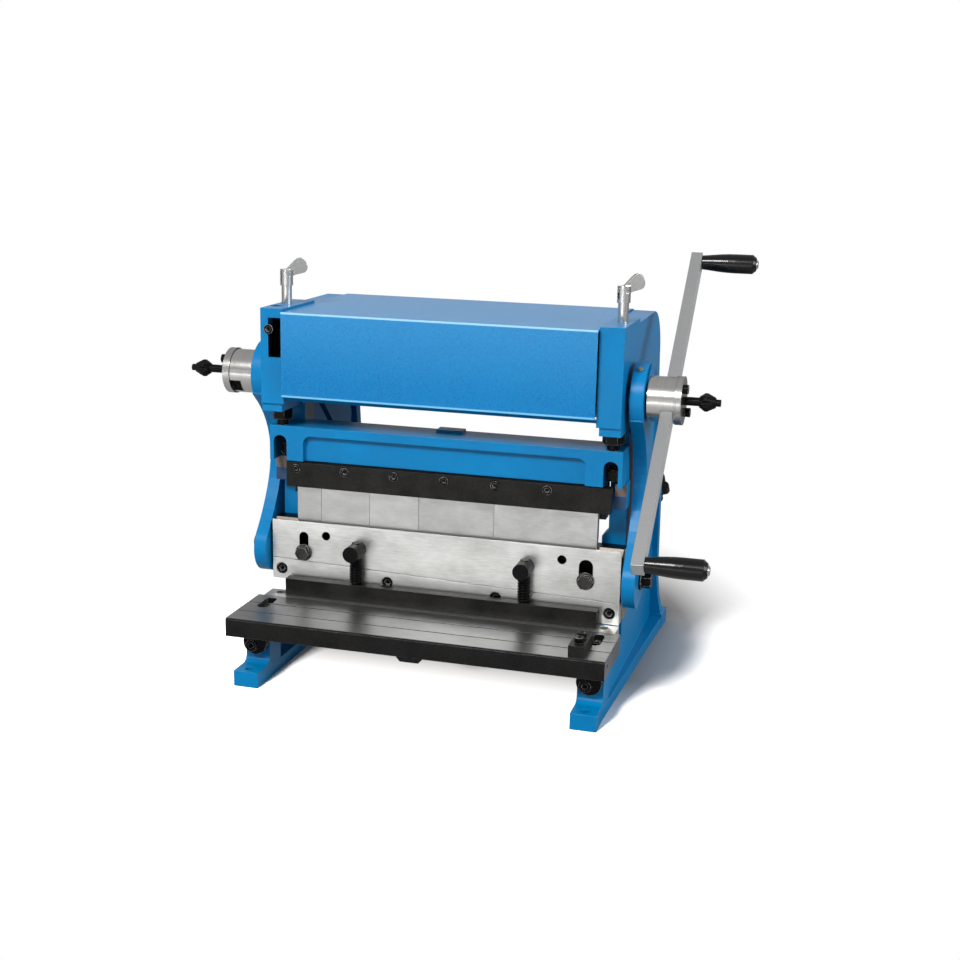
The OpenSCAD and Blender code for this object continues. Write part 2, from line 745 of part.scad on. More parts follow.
// ---------------------------------------------------------------- fingers, clamp bar and beam
module clamp_screw_holes(y0, y1, r) {
    for (i = [0 : 5]) rod_y(clamp_screw_x0 + i * clamp_screw_pitch, y0, y1, clamp_screw_z, r);
}

module finger(n) {
    x0 = finger_seams[n - 1] + seam_gap;
    x1 = finger_seams[n] - seam_gap;
    bevel = 1.73;
    color(ground) stand() difference() {
        yz(x0, x1) polygon([[0, finger_tip + 1], [0.9, finger_tip], [finger_t,
            finger_tip + (finger_t - 0.9) * bevel],
            [finger_t, beam_low], [0, beam_low]]);
        clamp_screw_holes(-1, finger_t + 1, 3.3);
    }
}
module finger_1() { finger(1); }
module finger_2() { finger(2); }
module finger_3() { finger(3); }
module finger_4() { finger(4); }
module finger_5() { finger(5); }

module finger_clamp_bar() {
    color(black) stand() difference() {
        box(clamp_left, clamp_right, -clamp_t, 0, clamp_low, clamp_low + clamp_h);
        clamp_screw_holes(-clamp_t - 1, 1, 3 + fit);
        clamp_screw_holes(-clamp_t - 1, -clamp_t + 3, 5);
    }
}

module clamp_bar_screws() {
    color(black) stand() for (i = [0 : 5])
        to_front(clamp_screw_x0 + i * clamp_screw_pitch, -clamp_t + 3, clamp_screw_z)
            socket_screw(4.4, 3.8, 3, clamp_t + finger_t + 6);
}

module brake_beam() {
    color(paint) stand() difference() {
        union() {
            box(-beam_half, beam_half, -beam_front, guide_y, beam_low, beam_top);
            box(-rib_half, rib_half, guide_y - 1, guide_y + 6, beam_low - 10, beam_top);
            box(-tongue_half, tongue_half, finger_t, guide_y, tongue_low, beam_low + 1);
            box(-13, 13, guide_y - 8, guide_y + 6, beam_top - 1, beam_top + 2.2);
        }
        box(-panel_half, panel_half, -beam_front - 1, -beam_front + panel_d, beam_low - 1,
            panel_top - panel_r);
        box(-panel_half + panel_r, panel_half - panel_r, -beam_front - 1, -beam_front + panel_d,
            beam_low, panel_top);
        both() rod_y(panel_half - panel_r, -beam_front - 1, -beam_front + panel_d,
            panel_top - panel_r, panel_r);
        both() {
            box(notch_x - notch_r, notch_x + notch_r, -beam_front - 1, 8, beam_low - 1,
                notch_top - notch_r);
            rod_y(notch_x, -beam_front - 1, 8, notch_top - notch_r, notch_r);
            box(notch_x - 5.2, notch_x + 5.2, 7, guide_y + 1, beam_low - 1, notch_top - notch_r);
        }
        clamp_screw_holes(finger_t - 1, finger_t + 10, 3 + fit);
    }
}

module beam_bolts() {
    color(black) stand() both() to_front(notch_x, 8, beam_bolt_z) hex_bolt(6.4, 6, 6.6, 1.4,
        bolt_r, 30);
}

module beam_jack_screws() {
    color(black) stand() both() {
        rod_z(notch_x, jack_y, beam_top, housing_low + 20, bolt_r);
        rod_z(notch_x, jack_y, beam_top, housing_low - jack_hex_h + 1, bolt_r + 0.6);
        translate([notch_x, jack_y, housing_low - jack_hex_h]) cylinder(h = jack_hex_h, r = 10.6,
            $fn = 6);
    }
}

// ---------------------------------------------------------------- crank, rolls and gears
module crank_roll() {
    color("silver") stand() difference() {
        union() {
            rod_x(-roll_half, barrel_end, crank_y, crank_z, roll_r);
            rod_x(-housing_out, housing_out, crank_y, crank_z, journal_r);
            rod_x(-shaft_end, shaft_end, crank_y, crank_z, stub_r);
        }
        for (i = [0 : 2]) translate([barrel_end - 8 - 9 * i, crank_y, crank_z]) rotate([0, 90, 0])
            rotate_extrude() translate([roll_r, 0]) circle(r = 1 + 0.6 * i);
    }
}

module eccentrics() {
    color(paint) stand() both() difference() {
        union() {
            rod_x(housing_out + slide_gap, arm_in - slide_gap, crank_y, crank_z, journal_r + 1);
            rod_x(arm_in - 1, arm_out + slide_gap + eps, ecc_y, ecc_z, ecc_r);
            rod_x(arm_out + slide_gap, hub_start, ecc_y, ecc_z, ecc_r + 3.4);
        }
        rod_x(housing_out, hub_start + 1, crank_y, crank_z, stub_r + fit);
    }
}

module gear(y, z, turn) {
    step = 360 / gear_teeth;
    root_r = gear_pitch_r - gear_ded;
    tip_r = gear_pitch_r + gear_add;
    translate([barrel_end + gear_gap / 2, y, z]) rotate([90, 0, 90]) rotate(turn)
        linear_extrude(gear_t) difference() {
        union() {
            circle(r = root_r);
            for (i = [0 : gear_teeth - 1]) rotate(i * step) polygon([
                [root_r - 1, -root_r * sin(7.2)], [root_r * cos(7.2), -root_r * sin(7.2)],
                [gear_pitch_r * cos(4.9), -gear_pitch_r * sin(4.9)], [tip_r, -tip_r * sin(2.2)],
                [tip_r, tip_r * sin(2.2)], [gear_pitch_r * cos(4.9), gear_pitch_r * sin(4.9)],
                [root_r * cos(7.2), root_r * sin(7.2)], [root_r - 1, root_r * sin(7.2)]]);
        }
        circle(r = journal_r + fit);
    }
}
module drive_gear() { color("gray") stand() gear(crank_y, crank_z, 0); }
module driven_gear() { color("gray") stand() gear(crank_y, upper_z, 180 / gear_teeth); }

module upper_roll() {
    color("silver") stand() {
        rod_x(-roll_half, barrel_end, crank_y, upper_z, roll_r);
        rod_x(barrel_end - eps, roll_half, crank_y, upper_z, journal_r);
        both() rod_x(roll_half - eps, block_out - 0.5, crank_y, upper_z, small_journal_r);
    }
}

module rear_roll() {
    color("silver") stand() {
        rod_x(-roll_half, roll_half, rear_y0, rear_z0, roll_r);
        both() rod_x(roll_half - eps, block_out - 0.5, rear_y0, rear_z0, small_journal_r);
    }
}

module upper_roll_blocks() {
    color(black) stand() both() difference() {
        box(block_in, block_out, crank_y - pocket_half + 0.2, crank_y + pocket_half - 0.2,
            upper_z - block_half, upper_z + block_half);
        rod_x(block_in - 1, block_out + 1, crank_y, upper_z, small_journal_r + running);
        rod_y(keeper_x, crank_y - block_half - 1, -housing_front + keeper_l + 0.5, keeper_z, 2.5 + fit);
    }
}

module rear_roll_blocks() {
    color("gray") stand() both() difference() {
        yz(block_in, block_out) rear_slot_outline(rear_block_w, rear_block_l);
        rod_x(block_in - 1, block_out + 1, rear_y0, rear_z0, small_journal_r + running);
    }
}

module roll_keeper_screw() {
    color(black) stand() to_front(-keeper_x, -housing_front, keeper_z) socket_screw(4.6, 4.5, 2.5,
        keeper_l);
}

// ---------------------------------------------------------------- link arms
// Where a line from point p touches the circle of radius r round c, on its left or right side.
function touch(p, c, r, side) = let (v = p - c, a = atan2(v[1], v[0]) + side * acos(r / norm(v)))
    c + r * [cos(a), sin(a)];

module arm_outline() {
    foot = [foot_y, link_z];
    big_top = [face_y - 0.9 * arm_big_r, crank_z - 0.55 * arm_big_r];
    big_side = [big_y + big_r + 3.3, ecc_z];
    high = crank_z - 1.5 * arm_big_r;
    low = link_z + 2.3 * arm_small_r;
    translate([face_y, crank_z]) circle(r = arm_big_r);
    translate([big_y, ecc_z]) circle(r = big_r + 3.5);
    translate(foot) circle(r = arm_small_r);
    polygon(concat(bend(big_top, [bow_front, high], [bow_front, bow_z]),
        bend([bow_front, bow_z], [bow_front, low], touch([bow_front, low], foot, arm_small_r - 0.1, 1)),
        [foot],
        bend(touch([bow_front + bow_w, low], foot, arm_small_r - 0.1, -1), [bow_front + bow_w, low],
            [bow_front + bow_w, bow_z]),
        bend([bow_front + bow_w, bow_z], [bow_front + bow_w, high], big_side), [[face_y, crank_z]]));
}

// Places its children on the rim of the arm's big end, with +Z outwards.
module on_arm_rim() {
    translate([(arm_in + arm_out) / 2, face_y, crank_z]) rotate([nipple_a - 90, 0, 0])
        translate([0, 0, arm_big_r]) children();
}

module link_arm() {
    difference() {
        yz(arm_in, arm_out) arm_outline();
        rod_x(arm_in - 1, arm_out + 1, big_y, ecc_z, big_r);
        rod_x(arm_in - 1, arm_out + 1, link_y, link_z, bolt_r + fit);
    }
}
module left_link_arm() { color(paint) stand() mirror([1, 0, 0]) link_arm(); }
module right_link_arm() {
    color(paint) stand() difference() {
        link_arm();
        on_arm_rim() translate([0, 0, -5]) cylinder(h = 6, r = 2.5 + fit);
    }
}

module link_bolts() {
    color(black) stand() both() to_right(arm_out, link_y, link_z) hex_bolt(8, 9.5, 9.6, 2, bolt_r,
        arm_t + 24);
}

module grease_nipple() {
    color("silver") stand() on_arm_rim() {
        translate([0, 0, -4]) cylinder(h = 5, r = 2.5);
        translate([0, 0, 0.1]) cylinder(h = 1.4, r = 3.2, $fn = 6);
        translate([0, 0, 1.4]) cylinder(h = 1.8, r = 2);
    }
}

// ---------------------------------------------------------------- hubs and handle
// Children are drawn along the handle bar: +Z runs to the upper grip.
module on_bar(x) { translate([x, crank_y, crank_z]) rotate([bar_angle - 90, 0, 0]) children(); }

module end_hubs() {
    color("silver") stand() both() difference() {
        rod_x(hub_start, hub_end, crank_y, crank_z, hub_r);
        rod_x(hub_start - 1, shaft_end + 0.2, crank_y, crank_z, stub_r + fit);
        on_bar(hub_end - hub_slot_w) translate([0, -hub_slot_t / 2, -60]) cube([hub_slot_w + 1,
            hub_slot_t, 120]);
        hub_cap_places() cylinder(h = 14, r = 2.5 + fit, center = true);
    }
}

module hub_cap_places() {
    for (a = [90, 270]) translate([hub_end, crank_y, crank_z]) rotate([bar_angle - 90 + a, 0, 0])
        translate([0, 0, 16.2]) rotate([0, 90, 0]) children();
}

module hub_caps() {
    color("silver") stand() both() difference() {
        rod_x(hub_end, cap_end, crank_y, crank_z, hub_r + cap_lip);
        rod_x(hub_end - 1, cap_end + 1, crank_y, crank_z, knob_screw_r + running);
        hub_cap_places() cylinder(h = 3 * cap_t, r = 2.5 + fit, center = true);
    }
}

module hub_cap_screws() {
    color(black) stand() both() hub_cap_places() translate([0, 0, cap_t]) socket_screw(4.3, 5, 2.5,
        cap_t + 6);
}

module clamp_knob(inner, star_x) {
    rod_x(inner, star_x + 1, crank_y, crank_z, knob_screw_r);
    to_right(star_x, crank_y, crank_z) {
        fluted_head(knob_r, knob_l, 6);
        translate([0, 0, knob_l - 2]) cylinder(h = 6.5, r = knob_nose_r);
    }
}
module left_clamp_knob() {
    color(black) stand() mirror([1, 0, 0]) clamp_knob(hub_end + 2, left_knob_x);
}
module right_clamp_knob() { color(black) stand() clamp_knob(knob_tip, right_knob_x); }

module handle_bar() {
    color("darkgray") stand() difference() {
        on_bar(bar_x - bar_w / 2) translate([0, -bar_t / 2, -bar_l / 2 - bar_drop]) cube([bar_w,
            bar_t, bar_l]);
        rod_x(bar_x - bar_w, bar_x + bar_w, crank_y, crank_z, knob_hole_r);
        on_bar(bar_x - bar_w) for (s = [-grip_s, grip_s]) translate([0, 0, s - bar_drop])
            rotate([0, 90, 0])
            cylinder(h = 3 * bar_w, r = spindle_r + fit);
    }
}

module grip_spindles() {
    color("silver") stand() on_bar(bar_x - bar_w / 2) for (s = [-grip_s, grip_s]) translate([0, 0,
        s - bar_drop])
        rotate([0, 90, 0]) {
            cylinder(h = bar_w + grip_l + 1.5, r = spindle_r);
            translate([0, 0, bar_w + grip_l + 0.3]) cylinder(h = 1.6, r1 = spindle_r + 1,
                r2 = spindle_r - 0.6);
        }
}

module grip(s) {
    color(black) stand() on_bar(bar_x + bar_w / 2) translate([0, 0, s - bar_drop]) rotate([0, 90,
        0]) rotate_extrude()
        polygon([[spindle_r + running, 0.4], [grip_r - 2.5, 0.4], [grip_r - 2, 6], [grip_r - 1.3, 12],
            [grip_r - 0.6, 19], [grip_r - 0.15, 26], [grip_r, 33], [grip_r, grip_l - 3.4],
            [grip_r - 0.9, grip_l - 2.6], [grip_r - 3, grip_l], [spindle_r + running, grip_l]]);
}
module upper_grip() { grip(grip_s); }
module lower_grip() { grip(-grip_s); }

// ---------------------------------------------------------------- screws over and behind the rolls
// Children are drawn round the wing screw's axis, with the lever along +X.
module at_wing(x) { translate([x, crank_y, 0]) rotate([0, 0, wing_turn]) children(); }

module wing_screw(x) {
    at_wing(x) difference() {
        union() {
            rod_z(0, 0, upper_z + block_half + slide_gap, wing_z0 + 0.5, wing_screw_r);
            rod_z(0, 0, wing_z0, wing_z0 + fork_h, fork_r);
        }
        box(-9, 9, -wing_t / 2 - slide_gap, wing_t / 2 + slide_gap, wing_z0 + 3.4,
            wing_z0 + fork_h + 1);
        rod_y(0, -9, 9, wing_pin_z, wing_pin_r);
    }
}
module left_wing_screw() { color("silver") stand() wing_screw(-wing_x); }
module right_wing_screw() { color("silver") stand() wing_screw(wing_x); }

module wing_lever(x) {
    at_wing(x) translate([0, 0, wing_pin_z]) rotate([0, -wing_rise, 0]) {
        rod_y(0, -wing_t / 2, wing_t / 2, 0, 4.2);
        xz(-wing_t / 2, wing_t / 2) polygon([[0, -3.8], [0, 3.8], [wing_l - 10, 7.4], [wing_l - 5.5, 8.2],
            [wing_l - 2.4, 7.4], [wing_l - 0.6, 5.2], [wing_l, 2.4], [wing_l - 0.2, -2],
            [wing_l - 1.4, -4.8], [wing_l - 3.8, -6.6], [wing_l - 6.5, -7], [7, -4.4]]);
        rod_y(0, -fork_r + 1.2, fork_r - 1.2, 0, wing_pin_r - running);
    }
}
module left_wing_lever() { color("silver") stand() wing_lever(-wing_x); }
module right_wing_lever() { color("silver") stand() wing_lever(wing_x); }

module rear_knob() {
    down_rear_screw(rear_screw_x, 14.3) cylinder(h = rear_knob_run - 14, r = rear_screw_r);
    down_rear_screw(rear_screw_x, rear_knob_run - 12) {
        cylinder(h = 9, r = 8);
        translate([0, 0, 8.9]) star(star_r, 12, 6);
    }
}
module left_rear_knob() { color(black) stand() mirror([1, 0, 0]) rear_knob(); }
module right_rear_knob() { color(black) stand() rear_knob(); }

module guard_shell(inset) {
    front = guard_front + inset;
    rear = guard_rear - inset;
    top = guard_top - inset;
    r = guard_r - inset;
    translate([front, guard_low - inset]) square([rear - r - front, top - guard_low + inset]);
    translate([front, guard_low - inset]) square([rear - front, top - r - guard_low + inset]);
    intersection() {
        translate([rear - r, top - r]) circle(r = r);
        translate([rear - r, top - r]) square([r, r]);
    }
}

module roll_guard() {
    color(paint) stand() yz(-guard_half, guard_half) union() {
        difference() {
            guard_shell(0);
            guard_shell(guard_t);
            translate([guard_rear - 8, guard_low - 1]) square([10, guard_rear_low - guard_low + 1]);
        }
        polygon([[guard_front, guard_low + 4], [guard_front, guard_low - 0.6], [lip_y, lip_z],
            [lip_y + 0.7, lip_z + 1.4], [guard_front + guard_t, guard_low + 0.8],
            [guard_front + guard_t, guard_low + 4]]);
    }
}

left_frame();
right_frame();
shaft_bushings();
table();
lower_blade();
lower_blade_screws();
table_screws();
table_cams();
cam_screws();
side_stop();
side_stop_screws();
ram();
ram_gibs();
v_die();
die_bolts();
upper_blade();
upper_blade_screws();
hold_down_bar();
hold_down_pins();
hold_down_rods();
hold_down_springs();
finger_1();
finger_2();
finger_3();
finger_4();
finger_5();
finger_clamp_bar();
clamp_bar_screws();
brake_beam();
beam_bolts();
beam_jack_screws();
crank_roll();
eccentrics();
drive_gear();
upper_roll();
driven_gear();
rear_roll();
upper_roll_blocks();
rear_roll_blocks();
roll_keeper_screw();
left_link_arm();
right_link_arm();
link_bolts();
grease_nipple();
end_hubs();
hub_caps();
hub_cap_screws();
left_clamp_knob();
right_clamp_knob();
handle_bar();
grip_spindles();
upper_grip();
lower_grip();
left_wing_screw();
right_wing_screw();
left_wing_lever();
right_wing_lever();
left_rear_knob();
right_rear_knob();
roll_guard();
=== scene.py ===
import math
import bmesh
import bpy
from mathutils import Matrix, Vector


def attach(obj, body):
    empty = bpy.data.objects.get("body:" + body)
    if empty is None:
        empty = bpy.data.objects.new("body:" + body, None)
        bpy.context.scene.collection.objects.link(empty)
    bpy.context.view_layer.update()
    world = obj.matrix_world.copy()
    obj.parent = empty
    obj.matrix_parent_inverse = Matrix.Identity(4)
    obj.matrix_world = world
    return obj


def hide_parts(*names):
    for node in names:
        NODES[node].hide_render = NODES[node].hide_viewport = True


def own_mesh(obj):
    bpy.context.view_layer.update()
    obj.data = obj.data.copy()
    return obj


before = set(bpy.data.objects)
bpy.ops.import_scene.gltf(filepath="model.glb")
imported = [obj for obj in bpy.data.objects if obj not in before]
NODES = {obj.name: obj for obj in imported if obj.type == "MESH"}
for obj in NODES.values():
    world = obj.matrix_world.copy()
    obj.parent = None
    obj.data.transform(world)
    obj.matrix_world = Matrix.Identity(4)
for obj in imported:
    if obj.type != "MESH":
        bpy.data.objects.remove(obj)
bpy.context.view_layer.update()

MM = 0.001

# Places that pieces and finishes share, in metres.
CRANK = Vector((0, -0.0545, 0.288))
UPPER_ROLL = Vector((0, CRANK.y, CRANK.z + 0.039))
REAR_ROLL = Vector((0, 0.002, 0.293))
WING_LEVERS = Vector((0, CRANK.y, 0.37))
HOLD_X = 0.0856
ROD_Y = -0.07775
BAR_TOP = 0.0857

# The hold-down springs, in metres.
SPRING_TOP = 0.1122
COIL_RADIUS = 0.0054
COIL_WIRE_RADIUS = 0.00085
COIL_TURNS = 9
COIL_STEPS = 20
COIL_SIDES = 8

# What the camera sees of the floor: its colour, and a painted shadow, a darker patch under the machine
# and right of it, with the patch's soft sides from nothing to full.
FLOOR_SEEN = (1.35, 1.325, 1.295, 1)
FLOOR_PAINTED_SHADOW = (0.46, 0.45, 0.44, 1)
PATCH_LEFT, PATCH_RIGHT = (-0.19, -0.16), (0.27, 0.18)
PATCH_FRONT, PATCH_BACK = (-0.13, -0.03), (0.36, 0.2)
# The floor turns plain white between these distances, measured with X stretched.
FLOOR_FADE = (0.38, 0.52)
FLOOR_FADE_STRETCH = (1.6, 1, 1)
# How much light the floor gives back to the machine, and how bright it is in what metal mirrors.
FLOOR_BOUNCE = 0.24
FLOOR_MIRRORED = 0.44
FLOOR_HALF_SIZE = 8.0

# The room's light, and what metal mirrors of the room by height, from level (0) to the zenith (1).
ROOM_LIGHT = 0.40
ROOM_MIRRORED = (
    (0.10, (1.0, 1.0, 1.0, 1)), (0.30, (0.42, 0.42, 0.42, 1)),
    (0.55, (0.50, 0.50, 0.50, 1)), (1.0, (0.62, 0.62, 0.63, 1)))
WHITE = (1, 1, 1, 1)

# Each lamp's name, place, target, width, height and watts, and what it does to the floor.
LAMPS = (
    ("key_soft_box", (-0.55, -2.0, 1.8), (0, 0, 0.15), 0.62, 0.5, 57, "EXCLUDE"),
    ("fill_soft_box", (2.2, -0.7, 1.1), (0, 0, 0.2), 1.2, 1.2, 33, "EXCLUDE"),
    ("floor_soft_box", (-0.52, -2.6, 0.88), (0, 0, 0.0), 0.42, 0.3, 240, "INCLUDE"))

CAMERA_LENS = 53.98
CAMERA_SENSOR = 36.0
CAMERA_PLACE = (0.392275, -1.359151, 0.524112)
CAMERA_RIGHT = (0.96261, 0.27005, 0.02110)
CAMERA_UP = (-0.08327, 0.22092, 0.97173)
CAMERA_BACK = (0.25776, -0.93716, 0.23515)

FLOAT, VECTOR = "NodeSocketFloat", "NodeSocketVector"


def rgb(r, g, b):
    """A colour in linear light from its screen values, 0 to 255."""
    def lin(v):
        v /= 255.0
        return v / 12.92 if v <= 0.04045 else ((v + 0.055) / 1.055) ** 2.4
    return (lin(r), lin(g), lin(b), 1.0)


# ---------------------------------------------------------------- node tools
def wire(tree, source, target):
    tree.links.new(source, target)


def put(target, value, tree):
    """Sets an input to a value, or wires it to a socket."""
    if isinstance(value, bpy.types.NodeSocket):
        wire(tree, value, target)
    elif value is not None:
        target.default_value = value


def node(tree, kind, **inputs):
    n = tree.nodes.new(kind)
    for name, value in inputs.items():
        put(n.inputs[name.replace("_", " ")], value, tree)
    return n


def use(tree, group, **inputs):
    """Puts a node group in a tree."""
    n = tree.nodes.new("ShaderNodeGroup")
    n.node_tree = group
    for name, value in inputs.items():
        put(n.inputs[name.replace("_", " ")], value, tree)
    return n


def math_node(tree, operation, a, b=None, clamp=False):
    n = tree.nodes.new("ShaderNodeMath")
    n.operation = operation
    n.use_clamp = clamp
    put(n.inputs[0], a, tree)
    put(n.inputs[1], b, tree)
    return n.outputs[0]


def times(tree, a, b):
    return math_node(tree, "MULTIPLY", a, b)


def remap(tree, value, low, high, to_low=0.0, to_high=1.0):
    n = tree.nodes.new("ShaderNodeMapRange")
    for i, v in enumerate((value, low, high, to_low, to_high)):
        put(n.inputs[i], v, tree)
    return n.outputs[0]


def mix_colour(tree, share, a, b):
    n = tree.nodes.new("ShaderNodeMix")
    n.data_type = "RGBA"
    put(n.inputs[0], share, tree)
    put(n.inputs[6], a, tree)
    put(n.inputs[7], b, tree)
    return n.outputs[2]


def mix_shaders(tree, share, a, b):
    n = tree.nodes.new("ShaderNodeMixShader")
    for i, source in enumerate((share, a, b)):
        wire(tree, source, n.inputs[i])
    return n.outputs[0]


def stretched(tree, scale=(1, 1, 1)):
    """Object coordinates, stretched by scale."""
    n = tree.nodes.new("ShaderNodeMapping")
    wire(tree, node(tree, "ShaderNodeTexCoord").outputs["Object"], n.inputs["Vector"])
    n.inputs["Scale"].default_value = scale
    return n.outputs["Vector"]


def split(tree, vector):
    """A vector's x, y and z."""
    n = tree.nodes.new("ShaderNodeSeparateXYZ")
    wire(tree, vector, n.inputs[0])
    return n.outputs


def facing(tree, axis):
    """How far the surface faces along an axis, from -1 to 1."""
    return split(tree, tree.nodes.new("ShaderNodeNewGeometry").outputs["Normal"])[axis]


def facing_either_way(tree, axis):
    """The same without its sign, from 0 to 1."""
    return math_node(tree, "ABSOLUTE", facing(tree, axis))


def noise(tree, vector, scale, detail=3.0, rough=0.5):
    n = node(tree, "ShaderNodeTexNoise", Vector=vector, Scale=scale, Detail=detail, Roughness=rough)
    return n.outputs["Fac"]


def show_by_ray(tree, others, mirrored, seen, output):
    """Shows the camera one shader, mirrors and glass a second one, and all other rays a third."""
    path = tree.nodes.new("ShaderNodeLightPath")
    glossy, glass = path.outputs["Is Glossy Ray"], path.outputs["Is Transmission Ray"]
    unseen = mix_shaders(tree, math_node(tree, "MAXIMUM", glossy, glass), others, mirrored)
    wire(tree, mix_shaders(tree, path.outputs["Is Camera Ray"], unseen, seen), output)


# ---------------------------------------------------------------- shared effects
def new_group(name, inputs, outputs):
    g = bpy.data.node_groups.new(name, "ShaderNodeTree")
    for title, kind, value in inputs:
        s = g.interface.new_socket(title, in_out="INPUT", socket_type=kind)
        s.default_value = value
    for title, kind in outputs:
        g.interface.new_socket(title, in_out="OUTPUT", socket_type=kind)
    return g, g.nodes.new("NodeGroupInput"), g.nodes.new("NodeGroupOutput")


def make_worn_and_sheen_edges():
    """A mask of 1 at sharp outer edges, broken up by noise, and the normal of the eased edge."""
    g, gin, gout = new_group("edge_wear_and_sheen",
        [("Width", FLOAT, 0.0006), ("Breakup", FLOAT, 300.0)], [("Mask", FLOAT), ("Normal", VECTOR)])
    eased = g.nodes.new("ShaderNodeBevel")
    eased.samples = 6
    wire(g, gin.outputs["Width"], eased.inputs["Radius"])
    flat = g.nodes.new("ShaderNodeNewGeometry")
    dot = g.nodes.new("ShaderNodeVectorMath")
    dot.operation = "DOT_PRODUCT"
    wire(g, eased.outputs[0], dot.inputs[0])
    wire(g, flat.outputs["Normal"], dot.inputs[1])
    edge = remap(g, dot.outputs["Value"], 0.98, 0.85)
    spots = remap(g, noise(g, stretched(g), gin.outputs["Breakup"], 4.0, 0.6), 0.35, 0.6)
    wire(g, math_node(g, "MULTIPLY", edge, spots, clamp=True), gout.inputs["Mask"])
    wire(g, eased.outputs[0], gout.inputs["Normal"])
    return g


def make_mottle():
    """Broad and fine patches, as one value round 0.5, and a height for bumps."""
    g, gin, gout = new_group("mottle",
        [("Broad", FLOAT, 25.0), ("Fine", FLOAT, 500.0), ("Share", FLOAT, 0.5)],
        [("Value", FLOAT), ("Height", FLOAT)])
    place = stretched(g)
    broad = noise(g, place, gin.outputs["Broad"], 3.0)
    fine = noise(g, place, gin.outputs["Fine"], 4.0, 0.6)
    both = g.nodes.new("ShaderNodeMix")
    put(both.inputs[0], gin.outputs["Share"], g)
    put(both.inputs[2], broad, g)
    put(both.inputs[3], fine, g)
    wire(g, both.outputs[0], gout.inputs["Value"])
    wire(g, fine, gout.inputs["Height"])
    return g


def make_grinding():
    """Short fine marks along X left by grinding, on slow cloudy patches."""
    g, gin, gout = new_group("grinding",
        [("Lines", FLOAT, 1.0), ("Clouds", FLOAT, 22.0)], [("Value", FLOAT), ("Height", FLOAT)])
    lines = noise(g, stretched(g, (90, 1500, 1500)), gin.outputs["Lines"], 3.0, 0.6)
    clouds = noise(g, stretched(g, (1, 1.6, 1.6)), gin.outputs["Clouds"], 4.0, 0.6)
    wire(g, math_node(g, "ADD", times(g, lines, 0.4), times(g, clouds, 0.6)), gout.inputs["Value"])
    wire(g, lines, gout.inputs["Height"])
    return g


def make_turning():
    """Rings round an axis along X, left by a lathe."""
    g, gin, gout = new_group("turning",
        [("Axis Y", FLOAT, 0.0), ("Axis Z", FLOAT, 0.0), ("Pitch", FLOAT, 2500.0)],
        [("Value", FLOAT), ("Height", FLOAT)])
    x, y, z = split(g, node(g, "ShaderNodeTexCoord").outputs["Object"])
    dy = math_node(g, "SUBTRACT", y, gin.outputs["Axis Y"])
    dz = math_node(g, "SUBTRACT", z, gin.outputs["Axis Z"])
    radius = math_node(g, "SQRT", math_node(g, "ADD", times(g, dy, dy), times(g, dz, dz)))
    pair = g.nodes.new("ShaderNodeCombineXYZ")
    wire(g, times(g, x, gin.outputs["Pitch"]), pair.inputs[0])
    wire(g, times(g, radius, gin.outputs["Pitch"]), pair.inputs[1])
    rings = noise(g, pair.outputs[0], 1.0, 2.0, 0.6)
    wire(g, rings, gout.inputs["Value"])
    wire(g, rings, gout.inputs["Height"])
    return g


def make_box_mask():
    """A mask of 1 inside a box of |x|, y and z, in metres, with soft sides."""
    names = ("X Low", "X High", "Y Low", "Y High", "Z Low", "Z High")
    g, gin, gout = new_group("box_mask",
        [(n, FLOAT, 0.0) for n in names] + [("Soft", FLOAT, 0.0004)], [("Mask", FLOAT)])
    x, y, z = split(g, node(g, "ShaderNodeTexCoord").outputs["Object"])
    mask = 1.0
    for value, axis in zip((math_node(g, "ABSOLUTE", x), y, z), "XYZ"):
        low, high = gin.outputs[axis + " Low"], gin.outputs[axis + " High"]
        up = remap(g, value, low, math_node(g, "ADD", low, gin.outputs["Soft"]))
        down = remap(g, value, high, math_node(g, "SUBTRACT", high, gin.outputs["Soft"]))
        mask = times(g, mask, times(g, up, down))
    wire(g, mask, gout.inputs["Mask"])
    return g


EDGE_WEAR_AND_SHEEN = make_worn_and_sheen_edges()
BOX_MASK = make_box_mask()
MOTTLE = make_mottle()
GRINDING = make_grinding()
TURNING = make_turning()


# ---------------------------------------------------------------- kinds of finish
def new_material(name, **constants):
    m = bpy.data.materials.new(name)
    m.use_nodes = True
    shader = m.node_tree.nodes["Principled BSDF"]
    for key, value in constants.items():
        shader.inputs[key.replace("_", " ")].default_value = value
    return m, m.node_tree, shader


def bump(tree, shader, height, strength, distance, normal=None):
    b = tree.nodes.new("ShaderNodeBump")
    b.inputs["Strength"].default_value = strength
    b.inputs["Distance"].default_value = distance
    wire(tree, height, b.inputs["Height"])
    put(b.inputs["Normal"], normal, tree)
    wire(tree, b.outputs[0], shader.inputs["Normal"])


def roughen(tree, shader, value, low, high):
    """Roughness that follows a noise value, most of which lies between 0.3 and 0.7."""
    wire(tree, remap(tree, value, 0.3, 0.7, low, high), shader.inputs["Roughness"])


def colour(tree, shader, base):
    wire(tree, base, shader.inputs["Base Color"])


def wear_and_sheen_edges(tree, edges, share, base, worn_and_sheen):
    return mix_colour(tree, times(tree, edges.outputs["Mask"], share), base, worn_and_sheen)


def in_box(tree, x0, x1, y0, y1, z0, z1):
    """A mask of 1 inside a box, given in millimetres, on both sides of the machine."""
    return use(tree, BOX_MASK, X_Low=x0 * MM, X_High=x1 * MM, Y_Low=y0 * MM, Y_High=y1 * MM,
        Z_Low=z0 * MM, Z_High=z1 * MM).outputs["Mask"]


